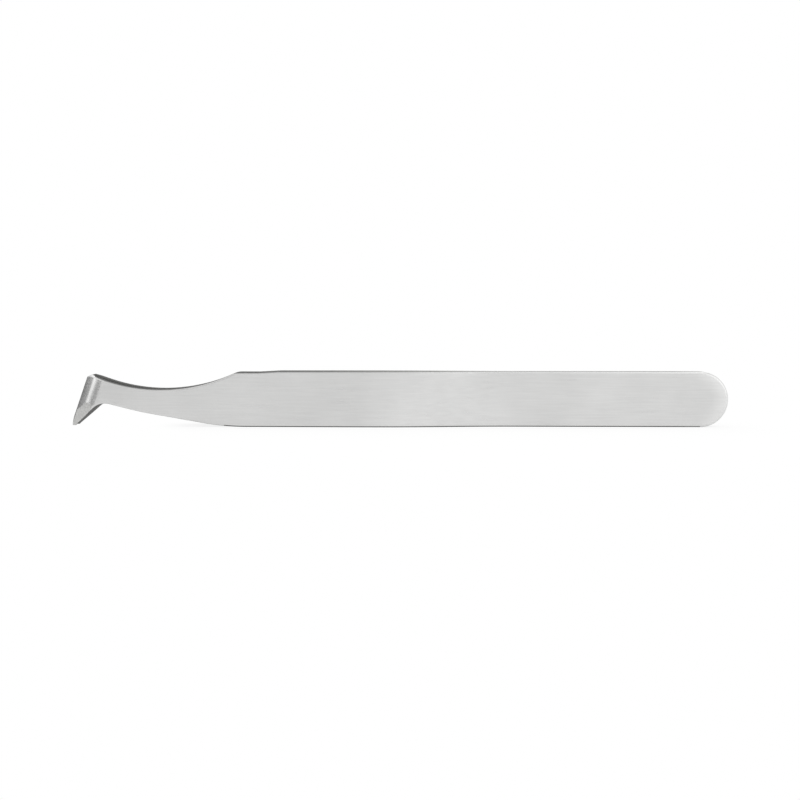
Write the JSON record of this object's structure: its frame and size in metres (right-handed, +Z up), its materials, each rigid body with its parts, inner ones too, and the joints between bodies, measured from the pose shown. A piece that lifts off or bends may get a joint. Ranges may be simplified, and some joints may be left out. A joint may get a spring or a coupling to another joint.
{
  "type": "cutting tweezers",
  "caption": "Spring steel cutting tweezers: bowed leaves welded face to face at a round heel, each bent inwards at the far end into an oblique jaw ground to a fine relieved tip.",
  "frame": {"origin": "middle of the length and of the thickness, on the plane that the long lower edges stand on", "axes": "+X along the length from the jaws to the welded heel, +Y from the front leaf to the rear leaf, +Z up across the width of the leaves"},
  "size_m": [0.115, 0.0076, 0.0097],
  "materials": {
    "leaf_steel": "fine lengthwise brushing, with matte ground bevels at the head",
    "pin_steel": "turned",
    "weld_steel": "as welded, dull"
  },
  "bodies": {
    "heel": {"weld_nuggets": "weld_steel"},
    "front_arm": {"front_arm": "leaf_steel"},
    "rear_arm": {"rear_arm": "leaf_steel", "stop_pin": "pin_steel"}
  },
  "joints": [
    {"name": "front_flex", "type": "hinge", "parent": "heel", "child": "front_arm", "pos_m": [0.02, 0, 0.00485], "axis": [0, 0, -1], "range_deg": [0, 0.72], "stiffness_Nm_per_rad": 36},
    {"name": "rear_flex", "type": "hinge", "parent": "heel", "child": "rear_arm", "pos_m": [0.02, 0, 0.00485], "axis": [0, 0, 1], "range_deg": [0, 0.72], "stiffness_Nm_per_rad": 36}
  ]
}
